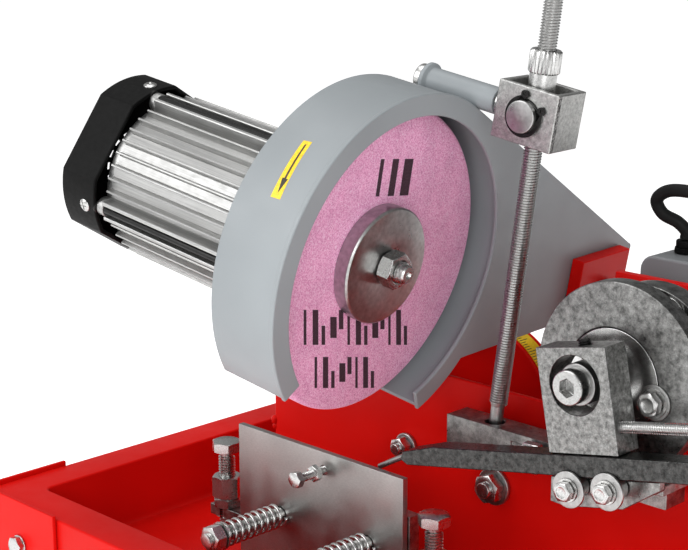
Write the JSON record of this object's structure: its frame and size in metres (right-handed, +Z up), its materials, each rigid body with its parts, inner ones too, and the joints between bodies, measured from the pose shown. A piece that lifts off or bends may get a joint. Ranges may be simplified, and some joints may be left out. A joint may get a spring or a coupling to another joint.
{
  "type": "band saw blade sharpener",
  "caption": "Automatic band saw blade grinder: tilting motor head with guarded wheel over a blade clamp, crank-driven feed bar, cam-lifted head, red tray on angle-iron legs",
  "frame": {"origin": "on the floor under the feet, at the centre of the tray", "axes": "+X to the machine's right as its user faces the clamp, +Y towards its back, +Z up"},
  "size_m": [0.6266, 0.539, 0.563],
  "materials": {
    "red_paint": "glossy red paint",
    "grey_paint": "satin blue-grey enamel",
    "zinc": "mottled zinc plating on mild steel",
    "bright_steel": "bright turned steel",
    "black_steel": "black oxide",
    "aluminium": "extruded, lightly matt",
    "black_plastic": "black moulding, fine grain",
    "grit": "pink bonded abrasive grain",
    "yellow": "printed yellow scale",
    "motor_grey": "grey gear motor paint",
    "lead_rubber": "black cable sheath"
  },
  "bodies": {
    "machine_frame": {"tray": "red_paint", "leg_front_left": "red_paint", "leg_front_right": "red_paint", "leg_rear_left": "red_paint", "leg_rear_right": "red_paint", "leg_bolt_front_left": "zinc", "leg_bolt_front_right": "zinc", "leg_bolt_rear_left": "zinc", "leg_bolt_rear_right": "zinc", "main_body": "red_paint", "motor_bracket": "red_paint", "rear_jaw": "zinc", "clamp_stud_left": "bright_steel", "clamp_stud_right": "bright_steel", "spring_left": "bright_steel", "spring_right": "bright_steel", "roller_bracket": "zinc", "roller_axle_left": "bright_steel", "roller_axle_right": "bright_steel", "lever_pivot_pin": "bright_steel", "gear_motor": "motor_grey", "lead_gland": "motor_grey", "gear_motor_lead": "lead_rubber"},
    "crank": {"camshaft": "bright_steel", "crank_disc": "zinc", "stroke_plate": "zinc", "disc_bolt": "bright_steel", "lift_cam": "zinc"},
    "feed": {"feed_bar": "zinc", "feed_block": "zinc", "stroke_screw": "bright_steel", "block_grub_screw": "black_steel", "feed_finger": "bright_steel"},
    "adjuster": {"feed_adjuster": "bright_steel"},
    "left_roller": {"roller_left": "bright_steel"},
    "right_roller": {"roller_right": "bright_steel"},
    "carrier": {"tilt_carrier": "red_paint", "tilt_scale": "yellow", "pivot_shaft": "bright_steel"},
    "head": {"wheel_guard": "grey_paint", "guard_tube": "grey_paint", "motor_body": "aluminium", "motor_end_shield": "aluminium", "fan_cover": "black_plastic"},
    "spindle": {"arbor": "bright_steel", "grinding_wheel": "grit", "outer_flange": "bright_steel", "wheel_nut": "bright_steel", "fan": "black_plastic"},
    "yoke_body": {"yoke": "zinc"},
    "trunnion": {"yoke_pin": "bright_steel", "circlip": "black_steel"},
    "sleeve": {"sleeve_nut": "bright_steel"},
    "rod": {"lift_rod": "bright_steel"},
    "lever": {"lift_lever": "zinc"},
    "jaw": {"front_jaw": "zinc", "jaw_set_screw": "bright_steel"},
    "left_rest": {"blade_rest_left": "bright_steel"},
    "right_rest": {"blade_rest_right": "bright_steel"}
  },
  "joints": [
    {"name": "cam_spin", "type": "hinge", "parent": "machine_frame", "child": "crank", "pos_m": [0.146, -0.1, 0.304], "axis": [0, 1, 0], "continuous": true},
    {"name": "feed_slide", "type": "slide", "parent": "machine_frame", "child": "feed", "axis": [0.9803, 0, 0.1977], "range_m": [-0.012, 0.004]},
    {"name": "feed_adjuster_turn", "type": "hinge", "parent": "feed", "child": "adjuster", "pos_m": [0.16736, -0.149, 0.28483], "axis": [0.9803, 0, 0.1977], "continuous": true},
    {"name": "roller_left_spin", "type": "hinge", "parent": "machine_frame", "child": "left_roller", "pos_m": [0.1396, -0.15, 0.243], "axis": [0, 1, 0], "continuous": true},
    {"name": "roller_right_spin", "type": "hinge", "parent": "machine_frame", "child": "right_roller", "pos_m": [0.1661, -0.15, 0.2487], "axis": [0, 1, 0], "continuous": true},
    {"name": "head_tilt", "type": "hinge", "parent": "machine_frame", "child": "carrier", "pos_m": [-0.059, 0.011, 0.211], "axis": [0, 1, 0], "range_deg": [-6, 6]},
    {"name": "head_lift", "type": "hinge", "parent": "carrier", "child": "head", "pos_m": [-0.04844, 0.07802, 0.29418], "axis": [-0.9824, -0.0687, 0.1736], "range_deg": [0, 3]},
    {"name": "arbor_spin", "type": "hinge", "parent": "head", "child": "spindle", "pos_m": [-0.022, -0.1557, 0.3513], "axis": [0.9824, 0.0687, -0.1736], "continuous": true},
    {"name": "yoke_swivel", "type": "hinge", "parent": "head", "child": "yoke_body", "pos_m": [0.05595, -0.0896, 0.44411], "axis": [-0.9824, -0.0687, 0.1736], "range_deg": [-1, 1]},
    {"name": "pin_swing", "type": "hinge", "parent": "yoke_body", "child": "trunnion", "pos_m": [0.05595, -0.0896, 0.44411], "axis": [-0.0698, 0.9976, 0], "range_deg": [-3, 3]},
    {"name": "sleeve_nut_turn", "type": "hinge", "parent": "trunnion", "child": "sleeve", "pos_m": [0.05595, -0.0896, 0.44411], "axis": [0.1271, 0.0089, 0.9919], "continuous": true},
    {"name": "rod_travel", "type": "slide", "parent": "trunnion", "child": "rod", "axis": [0.1271, 0.0089, 0.9919], "range_m": [-0.012, 0.012]},
    {"name": "lever_rock", "type": "hinge", "parent": "machine_frame", "child": "lever", "pos_m": [0.073, -0.092, 0.232], "axis": [0, 1, 0], "range_deg": [0, 12.5]},
    {"name": "front_jaw_open", "type": "slide", "parent": "machine_frame", "child": "jaw", "axis": [0, -1, 0], "range_m": [0, 0.006], "stiffness_N_per_m": 2500, "springref_m": -0.003, "deforming": ["spring_left", "spring_right"]},
    {"name": "blade_rest_left_height", "type": "slide", "parent": "machine_frame", "child": "left_rest", "axis": [0, 0, 1], "range_m": [-0.004, 0.004]},
    {"name": "blade_rest_right_height", "type": "slide", "parent": "machine_frame", "child": "right_rest", "axis": [0, 0, 1], "range_m": [-0.004, 0.004]}
  ],
  "couplings": [
    {"joint": "yoke_swivel", "follows": "head_lift", "ratio": -0.2015},
    {"joint": "lever_rock", "follows": "head_lift", "ratio": 4.04},
    {"joint": "pin_swing", "follows": "head_tilt", "ratio": 0.193},
    {"joint": "rod_travel", "follows": "head_tilt", "m_per_rad": 0.0844}
  ]
}
